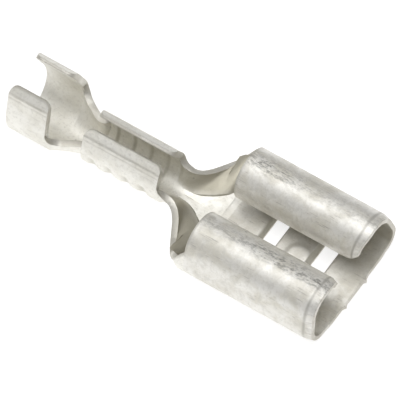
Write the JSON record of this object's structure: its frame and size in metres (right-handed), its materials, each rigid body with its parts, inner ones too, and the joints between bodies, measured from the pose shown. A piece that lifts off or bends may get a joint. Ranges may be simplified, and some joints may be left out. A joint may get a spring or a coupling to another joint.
{
  "type": "female spade terminal",
  "caption": "Uninsulated female spade terminal folded from one tin plated strip, with a rolled tab socket, an open wire barrel and an open insulation barrel.",
  "frame": {"origin": "middle of the bounding box in X and Y, at the underside of the socket floor", "axes": "+X along the terminal towards the tab mouth, +Y across the socket, +Z from the floor towards the rolls and the open wings"},
  "size_m": [0.0196, 0.0076, 0.0045],
  "materials": {
    "tin_plate": "satin tin plate"
  },
  "bodies": {
    "root": {"terminal": "tin_plate"}
  },
  "joints": []
}
